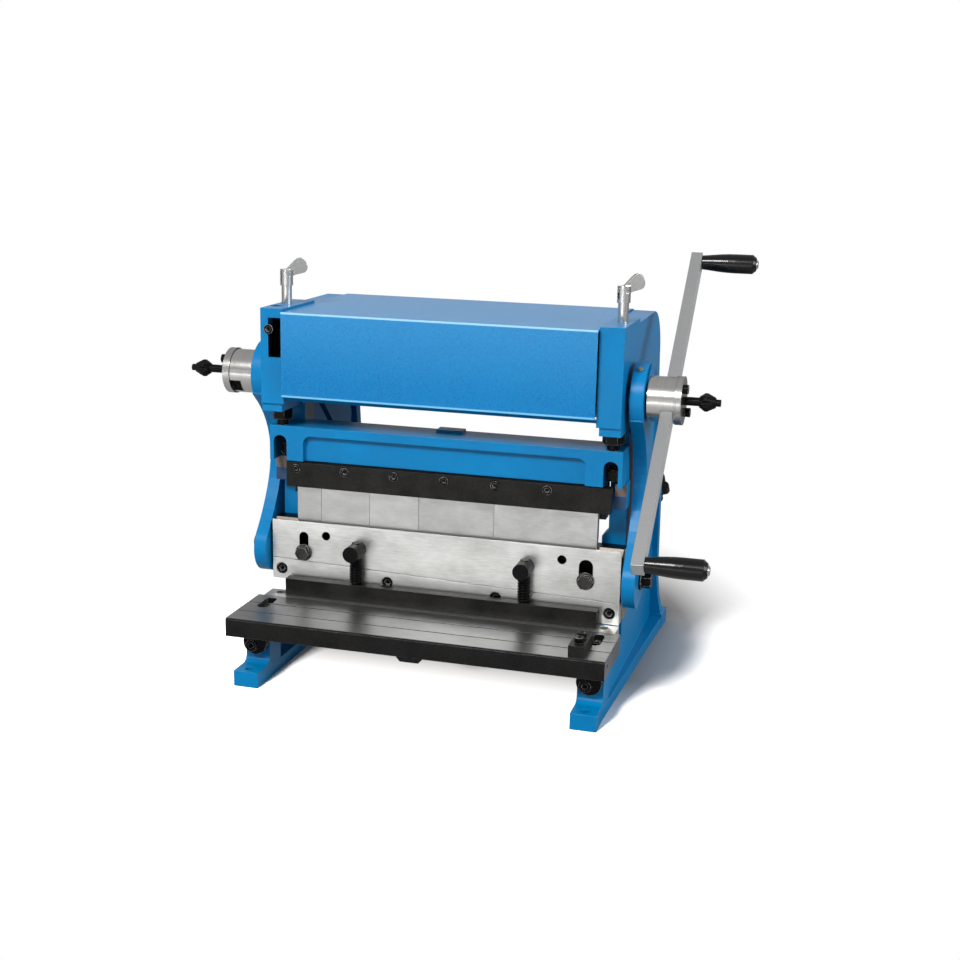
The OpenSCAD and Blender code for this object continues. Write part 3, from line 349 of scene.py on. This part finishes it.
def enamel(name, dark, light, worn_and_sheen, fine, fine_share, rough, bump_strength, edge_share=0.5,
        patches_of=(), painted_sheen_between=None):
    """Machine enamel in two close shades, paler on its edges from wear and painted highlight, with bare
    patches, painted shade and painted highlights in given boxes. It can grow paler with height, a
    painted sheen, between two heights in metres."""
    m, t, s = new_material(name, Specular_IOR_Level=0.16)
    patches = use(t, MOTTLE, Broad=16.0, Fine=fine, Share=fine_share)
    edges = use(t, EDGE_WEAR_AND_SHEEN, Width=0.0008, Breakup=160.0)
    base = mix_colour(t, remap(t, patches.outputs["Value"], 0.36, 0.64), dark, light)
    # Painted sheen: the enamel grows paler towards the top.
    if painted_sheen_between:
        height = split(t, stretched(t))[2]
        base = mix_colour(t, remap(t, height, *painted_sheen_between, 0.0, 0.2), base, worn_and_sheen)
    for box, shade in patches_of:
        base = mix_colour(t, in_box(t, *box), base, shade)
    # The paler edges are partly wear and partly a painted highlight.
    colour(t, s, wear_and_sheen_edges(t, edges, edge_share, base, worn_and_sheen))
    roughen(t, s, patches.outputs["Value"], rough - 0.05, rough + 0.07)
    bump(t, s, patches.outputs["Height"], bump_strength, 0.0003, edges.outputs["Normal"])
    return m


def ground_metal(name, dark, light, rough, bump_strength=0.1, edge=0.0004, metallic=1.0, clouds=22.0,
        dark_slots=False, sides=None, top=None):
    """Metal with short surface grinder marks along X. With dark_slots, the walls of its slots and
    holes and the faces in a recess are near black, a painted shade. With sides, its end faces take a
    given colour, here lighter, a painted highlight; with top, its top takes a given colour, here
    darker, a painted shade."""
    m, t, s = new_material(name, Metallic=metallic)
    lines = use(t, GRINDING, Lines=1.0, Clouds=clouds)
    edges = use(t, EDGE_WEAR_AND_SHEEN, Width=edge, Breakup=120.0)
    base = mix_colour(t, remap(t, lines.outputs["Value"], 0.34, 0.66), dark, light)
    if sides:
        # Painted highlight: the end faces take the given colour.
        base = mix_colour(t, remap(t, facing_either_way(t, 0), 0.8, 0.9), base, sides)
    if top:
        # Painted shade: the top faces take the given colour.
        base = mix_colour(t, remap(t, facing(t, 2), 0.35, 0.45), base, top)
    if dark_slots:
        not_front = remap(t, facing_either_way(t, 1), 0.5, 0.4)
        walls = times(t, in_box(t, *SLOT_WALLS), not_front)
        base = mix_colour(t, math_node(t, "MAXIMUM", walls, in_box(t, *SLOT_DEPTH)), base, SLOT_SHADE_BLACK)
    colour(t, s, base)
    roughen(t, s, lines.outputs["Value"], rough + 0.08, rough - 0.06)
    bump(t, s, lines.outputs["Height"], bump_strength, 0.00008, edges.outputs["Normal"])
    return m


def turned_metal(name, dark, light, rough, axis=CRANK, pitch=2200.0, bump_strength=0.06):
    """Metal with lathe rings round an axis along X."""
    m, t, s = new_material(name, Metallic=1.0)
    rings = use(t, TURNING, Axis_Y=axis.y, Axis_Z=axis.z, Pitch=pitch)
    edges = use(t, EDGE_WEAR_AND_SHEEN, Width=0.0005, Breakup=120.0)
    colour(t, s, mix_colour(t, remap(t, rings.outputs["Value"], 0.3, 0.7), dark, light))
    roughen(t, s, rings.outputs["Value"], rough + 0.05, rough - 0.03)
    bump(t, s, rings.outputs["Height"], bump_strength, 0.00006, edges.outputs["Normal"])
    return m


def oxide(name, dark, light, worn_and_sheen, rough, bump_strength=0.12, edge=0.0004, worn_and_sheen_share=0.35,
        specular=0.2):
    """Blackened steel: dull, speckled, paler on its edges, partly from wear and partly a painted
    highlight.
    """
    m, t, s = new_material(name, Specular_IOR_Level=specular)
    patches = use(t, MOTTLE, Broad=40.0, Fine=900.0, Share=0.55)
    edges = use(t, EDGE_WEAR_AND_SHEEN, Width=edge, Breakup=240.0)
    base = mix_colour(t, remap(t, patches.outputs["Value"], 0.36, 0.66), dark, light)
    colour(t, s, wear_and_sheen_edges(t, edges, worn_and_sheen_share, base, worn_and_sheen))
    roughen(t, s, patches.outputs["Value"], rough - 0.06, rough + 0.08)
    bump(t, s, patches.outputs["Height"], bump_strength, 0.0002, edges.outputs["Normal"])
    return m


def moulded(name, dark, light, rough, specular, fine=1500.0, bump_strength=0.02):
    """Moulded plastic."""
    m, t, s = new_material(name, Specular_IOR_Level=specular)
    patches = use(t, MOTTLE, Broad=60.0, Fine=fine, Share=0.3)
    colour(t, s, mix_colour(t, patches.outputs["Value"], dark, light))
    roughen(t, s, patches.outputs["Value"], rough - 0.03, rough + 0.05)
    bump(t, s, patches.outputs["Height"], bump_strength, 0.0001)
    return m


def make_table_iron():
    """Cast table: machined grey on top and on its ends, blackened on its other faces."""
    m, t, s = new_material("table_iron", Specular_IOR_Level=0.15)
    lines = use(t, GRINDING, Lines=1.0, Clouds=12.0)
    patches = use(t, MOTTLE, Broad=40.0, Fine=700.0, Share=0.6)
    edges = use(t, EDGE_WEAR_AND_SHEEN, Width=0.0006, Breakup=120.0)
    top = remap(t, facing(t, 2), 0.85, 0.95)
    ends = remap(t, facing_either_way(t, 0), 0.8, 0.9)
    bare = math_node(t, "MAXIMUM", top, ends)
    iron_share = remap(t, lines.outputs["Value"], 0.36, 0.64)
    iron = mix_colour(t, iron_share, rgb(112, 112, 112), rgb(140, 140, 139))
    black_share = remap(t, patches.outputs["Value"], 0.36, 0.66)
    black = mix_colour(t, black_share, rgb(6, 6, 6), rgb(28, 27, 26))
    base = mix_colour(t, bare, black, iron)
    colour(t, s, wear_and_sheen_edges(t, edges, 0.5, base, rgb(190, 190, 190)))
    wire(t, times(t, bare, 0.9), s.inputs["Metallic"])
    roughen(t, s, patches.outputs["Value"], 0.28, 0.34)
    bump(t, s, lines.outputs["Height"], 0.06, 0.00008, edges.outputs["Normal"])
    return m


# ---------------------------------------------------------------- finishes
# Boxes of |x|, y and z in millimetres, and the colours inside them.
# Painted shade: slot and hole walls in the first box, and all faces in the second, take the near-black
# below.
SLOT_WALLS = (-1, 178.5, -200, -4, 60, 146)
SLOT_DEPTH = (100, 160, -66.5, -56, 80, 134)
SLOT_SHADE_BLACK = rgb(14, 13, 12)
# Near black, a painted shade for the frames' recesses.
PAINTED_SHADE = rgb(5, 8, 12)
FRAME_PATCHES = [
    # The next two boxes: painted shade inside the housings' windows and pockets.
    ((150, 168.6, -94.5, -20, 306, 341), PAINTED_SHADE),
    ((160, 175, -85, -62, 300, 356.6), PAINTED_SHADE),
    ((152.5, 153.2, -43, -18, 204, 257), rgb(128, 126, 122)),
    # Painted shade in the recesses at the ends of the beam.
    ((157.9, 172.1, -76.9, -55, 206, 236), rgb(10, 20, 30)),
    # Painted shade at the ends of the tongue under the beam, beside the fingers.
    ((149, 161, -57, -50, 160, 181), PAINTED_SHADE),
    # A bare machined ledge, brown above; below, its blue-grey is a painted reflection of the enamel on
    # bare metal.
    ((166, 178, -59.5, -57.5, 193.5, 206), rgb(106, 93, 87)),
    ((166, 178, -59.5, -57.5, 180, 193.5), rgb(46, 68, 98))]
# Painted highlights: pale lines along the guard's top and bottom folds.
GUARD_FOLD_HIGHLIGHTS = [
    ((-1, 154, -103, -101.5, 352.6, 357), rgb(150, 200, 230)),
    ((-1, 154, -103, -101.5, 272, 275.4), rgb(110, 178, 218))]
# Pairs of a dark and a light shade that several finishes share.
BLADE_SHADES = (rgb(186, 186, 184), rgb(226, 226, 223))
ROLL_SHADES = (rgb(176, 176, 176), rgb(212, 212, 210))
FINGER_SHADES = ((160, 184), (166, 190), (172, 192), (164, 188), (168, 194))

CASTING_BLUE = enamel("casting_blue_enamel", rgb(0, 112, 168), rgb(0, 122, 180),
    rgb(78, 162, 206), fine=260.0, fine_share=0.2, rough=0.32, bump_strength=0.05,
    patches_of=FRAME_PATCHES)
# Its growing paler with height is a painted sheen, and its pale folds and edges are painted highlights.
GUARD_BLUE = enamel("guard_speckled_enamel", rgb(0, 103, 162), rgb(2, 123, 184),
    rgb(110, 180, 220), fine=700.0, fine_share=0.85, rough=0.3, bump_strength=0.14, edge_share=0.4,
    patches_of=GUARD_FOLD_HIGHLIGHTS, painted_sheen_between=(0.29, 0.37))

# Its dark top is a painted shade.
GROUND = ground_metal("ground_steel", rgb(186, 186, 183), rgb(226, 226, 223), 0.38,
    dark_slots=True, top=rgb(88, 81, 75))
RAM_STEEL = ground_metal("ram_steel", rgb(112, 110, 104), rgb(158, 156, 150), 0.42, clouds=14.0,
    dark_slots=True)
BLADE = ground_metal("blade_steel", *BLADE_SHADES, 0.36)
FINGER_STEEL = [
    ground_metal("finger_steel_%d" % (i + 1), rgb(low, low, low - 2), rgb(high, high, high - 2),
        0.42, clouds=30.0 + 3 * i)
    for i, (low, high) in enumerate(FINGER_SHADES)]
# Its lighter end faces are a painted highlight.
BAR_GREY = ground_metal("handle_bar_zinc", rgb(160, 161, 161), rgb(176, 177, 177), 0.40,
    bump_strength=0.03, edge=0.0007, metallic=0.85, clouds=9.0, sides=rgb(216, 218, 219))

HUB_STEEL = turned_metal("turned_hub_steel", rgb(168, 167, 164), rgb(190, 189, 186), 0.2,
    bump_strength=0.02)
CAP_STEEL = turned_metal("turned_cap_steel", rgb(150, 149, 147), rgb(190, 189, 186), 0.24)
CRANK_STEEL = turned_metal("crank_roll_steel", *ROLL_SHADES, 0.2)
UPPER_STEEL = turned_metal("upper_roll_steel", *ROLL_SHADES, 0.2, UPPER_ROLL)
REAR_STEEL = turned_metal("rear_roll_steel", *ROLL_SHADES, 0.2, REAR_ROLL)
PLATED = turned_metal("nickel_plate", rgb(186, 186, 185), rgb(216, 216, 215), 0.2, WING_LEVERS,
    pitch=900.0, bump_strength=0.02)
BRONZE = turned_metal("bronze", rgb(170, 132, 80), rgb(206, 168, 108), 0.32)
NIPPLE_STEEL = turned_metal("zinc_nipple", rgb(120, 116, 106), rgb(176, 172, 160), 0.3)

BLACK_BAR = oxide("blackened_bar", rgb(5, 5, 5), rgb(38, 37, 34), rgb(120, 118, 114), 0.40,
    bump_strength=0.25, specular=0.13)
BLOCK_STEEL = oxide("blackened_blocks", rgb(5, 5, 6), rgb(14, 14, 14), rgb(60, 58, 55), 0.44)
# Its light edge colour over nearly all of each edge is a painted highlight, rings round heads and
# sockets.
BLACK_SCREW = oxide("blackened_screws", rgb(3, 3, 3), rgb(11, 11, 12), rgb(226, 224, 220), 0.26,
    edge=0.0007, worn_and_sheen_share=0.95, specular=0.08)
KNOB_STEEL = oxide("blackened_knobs", rgb(4, 4, 4), rgb(13, 13, 14), rgb(110, 108, 104), 0.30,
    edge=0.0005, worn_and_sheen_share=0.2, specular=0.10)
# Its light edge colour over most of each edge is a painted highlight on the bolts.
BOLT_ZINC = oxide("die_bolts_dark", rgb(24, 23, 22), rgb(60, 59, 57), rgb(214, 214, 212), 0.26,
    edge=0.0008, worn_and_sheen_share=0.9)
GEAR_STEEL = oxide("machined_gears", rgb(96, 96, 97), rgb(132, 132, 133), rgb(170, 170, 170), 0.36,
    edge=0.0002)

GRIP_BLACK = moulded("grip_gloss_black", rgb(3, 3, 3), rgb(6, 6, 6), 0.20, 0.30)
STAR_BLACK = moulded("star_knob_black", rgb(10, 10, 10), rgb(20, 20, 20), 0.42, 0.25,
    fine=900.0, bump_strength=0.12)
TABLE_IRON = make_table_iron()

FINISH = {
    CASTING_BLUE: ["left_frame", "right_frame", "brake_beam", "left_link_arm", "right_link_arm",
        "eccentrics"],
    GUARD_BLUE: ["roll_guard"],
    GROUND: ["v_die", "ram_gibs"],
    RAM_STEEL: ["ram"],
    BLADE: ["upper_blade", "lower_blade"],
    BAR_GREY: ["handle_bar"],
    HUB_STEEL: ["end_hubs", "grip_spindles"],
    CAP_STEEL: ["hub_caps"],
    CRANK_STEEL: ["crank_roll"],
    UPPER_STEEL: ["upper_roll"],
    REAR_STEEL: ["rear_roll"],
    TABLE_IRON: ["table"],
    BLACK_BAR: ["finger_clamp_bar", "hold_down_bar", "side_stop"],
    BLOCK_STEEL: ["upper_roll_blocks"],
    BLACK_SCREW: ["lower_blade_screws", "table_screws", "table_cams", "cam_screws",
        "side_stop_screws", "upper_blade_screws", "clamp_bar_screws", "beam_bolts",
        "beam_jack_screws", "roll_keeper_screw", "link_bolts", "hub_cap_screws"],
    KNOB_STEEL: ["left_clamp_knob", "right_clamp_knob", "hold_down_rods", "hold_down_springs",
        "hold_down_pins"],
    PLATED: ["left_wing_screw", "right_wing_screw", "left_wing_lever", "right_wing_lever"],
    BOLT_ZINC: ["die_bolts"],
    BRONZE: ["shaft_bushings"],
    NIPPLE_STEEL: ["grease_nipple"],
    GEAR_STEEL: ["drive_gear", "driven_gear", "rear_roll_blocks"],
    GRIP_BLACK: ["upper_grip", "lower_grip"],
    STAR_BLACK: ["left_rear_knob", "right_rear_knob"],
}
FINISH.update({finish: ["finger_%d" % (i + 1)] for i, finish in enumerate(FINGER_STEEL)})
for finish, names in FINISH.items():
    for name in names:
        thing = NODES[name]
        if not thing.data.materials:
            thing.data.materials.append(finish)
        for slot in thing.material_slots:
            slot.material = finish


# ---------------------------------------------------------------- new pieces
def piece(name, mesh, body, finish):
    """Makes an object of a bmesh, and lets it ride on a body."""
    data = bpy.data.meshes.new(name)
    mesh.to_mesh(data)
    mesh.free()
    thing = bpy.data.objects.new(name, data)
    bpy.context.scene.collection.objects.link(thing)
    data.materials.append(finish)
    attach(thing, body)
    return thing


def add_spring(mesh, x, y, z0, z1):
    """A coil spring round a vertical line, with closed wire ends."""
    across = Matrix.Rotation(math.pi / 2, 4, "X")
    start = Matrix.Translation((x + COIL_RADIUS, y, z0 + COIL_WIRE_RADIUS))
    ring = bmesh.ops.create_circle(mesh, cap_ends=False, segments=COIL_SIDES,
        radius=COIL_WIRE_RADIUS, matrix=start @ across)["verts"]
    edges = list({e for v in ring for e in v.link_edges})
    steps = COIL_TURNS * COIL_STEPS
    rise = (z1 - z0 - 2 * COIL_WIRE_RADIUS) / steps
    made = bmesh.ops.spin(mesh, geom=ring + edges, cent=(x, y, 0), axis=(0, 0, 1),
        dvec=(0, 0, rise), angle=COIL_TURNS * 2 * math.pi, steps=steps, use_duplicate=False)
    last = [e for e in made["geom_last"] if isinstance(e, bmesh.types.BMEdge)]
    bmesh.ops.contextual_create(mesh, geom=edges)
    bmesh.ops.contextual_create(mesh, geom=last)


def make_springs():
    mesh = bmesh.new()
    for side in (-1, 1):
        add_spring(mesh, side * HOLD_X, ROD_Y, BAR_TOP, SPRING_TOP)
    bmesh.ops.recalc_face_normals(mesh, faces=mesh.faces)
    for f in mesh.faces:
        f.smooth = True
    springs = piece("hold_down_coils", mesh, "hold_down", KNOB_STEEL)
    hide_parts("hold_down_springs")
    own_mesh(springs)


make_springs()


# ---------------------------------------------------------------- floor, light and camera
def make_floor():
    """A white floor: what the camera sees of it is white but for the shadow and a patch of painted
    shadow.
    """
    mesh = bmesh.new()
    bmesh.ops.create_grid(mesh, x_segments=1, y_segments=1, size=FLOOR_HALF_SIZE)
    data = bpy.data.meshes.new("floor")
    mesh.to_mesh(data)
    mesh.free()
    floor = bpy.data.objects.new("floor", data)
    bpy.context.scene.collection.objects.link(floor)
    m = bpy.data.materials.new("floor_white")
    m.use_nodes = True
    t = m.node_tree
    t.nodes.remove(t.nodes["Principled BSDF"])
    x, y, _ = split(t, stretched(t))
    # Painted shadow: the floor colour darkens in a soft patch under the machine and right of it.
    across = times(t, remap(t, x, *PATCH_LEFT), remap(t, x, *PATCH_RIGHT))
    along = times(t, remap(t, y, *PATCH_FRONT), remap(t, y, *PATCH_BACK))
    painted_shadow = mix_colour(t, times(t, across, along), FLOOR_SEEN, FLOOR_PAINTED_SHADOW)
    near = node(t, "ShaderNodeBsdfDiffuse", Color=painted_shadow)
    far = node(t, "ShaderNodeEmission", Color=WHITE, Strength=1.0)
    distance = t.nodes.new("ShaderNodeVectorMath")
    distance.operation = "LENGTH"
    wire(t, stretched(t, FLOOR_FADE_STRETCH), distance.inputs[0])
    fade = remap(t, distance.outputs["Value"], *FLOOR_FADE)
    seen = mix_shaders(t, fade, near.outputs[0], far.outputs[0])
    others, mirrored = (
        node(t, "ShaderNodeBsdfDiffuse", Color=(level, level, level, 1)).outputs[0]
        for level in (FLOOR_BOUNCE, FLOOR_MIRRORED))
    show_by_ray(t, others, mirrored, seen, t.nodes["Material Output"].inputs[0])
    data.materials.append(m)
    return floor


def make_world():
    """A pale room that is white to the camera, and banded with height in what metal mirrors."""
    world = bpy.data.worlds.new("studio")
    bpy.context.scene.world = world
    world.use_nodes = True
    t = world.node_tree
    others = t.nodes["Background"]
    others.inputs[0].default_value = WHITE
    others.inputs[1].default_value = ROOM_LIGHT
    seen = node(t, "ShaderNodeBackground", Color=WHITE, Strength=1.0)
    height = split(t, node(t, "ShaderNodeTexCoord").outputs["Generated"])[2]
    ramp = t.nodes.new("ShaderNodeValToRGB")
    wire(t, height, ramp.inputs[0])
    stops = ramp.color_ramp.elements
    stops[0].position, stops[0].color = ROOM_MIRRORED[0]
    stops[1].position, stops[1].color = ROOM_MIRRORED[-1]
    for position, shade in ROOM_MIRRORED[1:-1]:
        stops.new(position).color = shade
    mirrored = node(t, "ShaderNodeBackground", Color=ramp.outputs[0])
    show_by_ray(t, others.outputs[0], mirrored.outputs[0], seen.outputs[0],
        t.nodes["World Output"].inputs[0])


def area_lamp(name, place, target, width, height, watts):
    data = bpy.data.lights.new(name, "AREA")
    data.shape = "RECTANGLE"
    data.size, data.size_y = width, height
    data.energy = watts
    lamp = bpy.data.objects.new(name, data)
    lamp.location = place
    aim = Vector(target) - Vector(place)
    lamp.rotation_euler = aim.to_track_quat("-Z", "Y").to_euler()
    bpy.context.scene.collection.objects.link(lamp)
    return lamp


def light_only(lamp, stage, state):
    """With INCLUDE a lamp lights nothing but the stage, with EXCLUDE all but it."""
    group = bpy.data.collections.new(lamp.name + "_reach")
    group.objects.link(stage)
    group.collection_objects[0].light_linking.link_state = state
    lamp.light_linking.receiver_collection = group


def make_camera():
    data = bpy.data.cameras.new("camera")
    data.lens = CAMERA_LENS
    data.sensor_width = CAMERA_SENSOR
    data.clip_start, data.clip_end = 0.05, 50
    camera = bpy.data.objects.new("camera", data)
    turn = Matrix((CAMERA_RIGHT, CAMERA_UP, CAMERA_BACK)).transposed().to_4x4()
    camera.matrix_world = Matrix.Translation(CAMERA_PLACE) @ turn
    bpy.context.scene.collection.objects.link(camera)
    bpy.context.scene.camera = camera


floor = make_floor()
make_world()
for *about, state in LAMPS:
    light_only(area_lamp(*about), floor, state)
make_camera()
bpy.context.scene.view_settings.view_transform = "Standard"
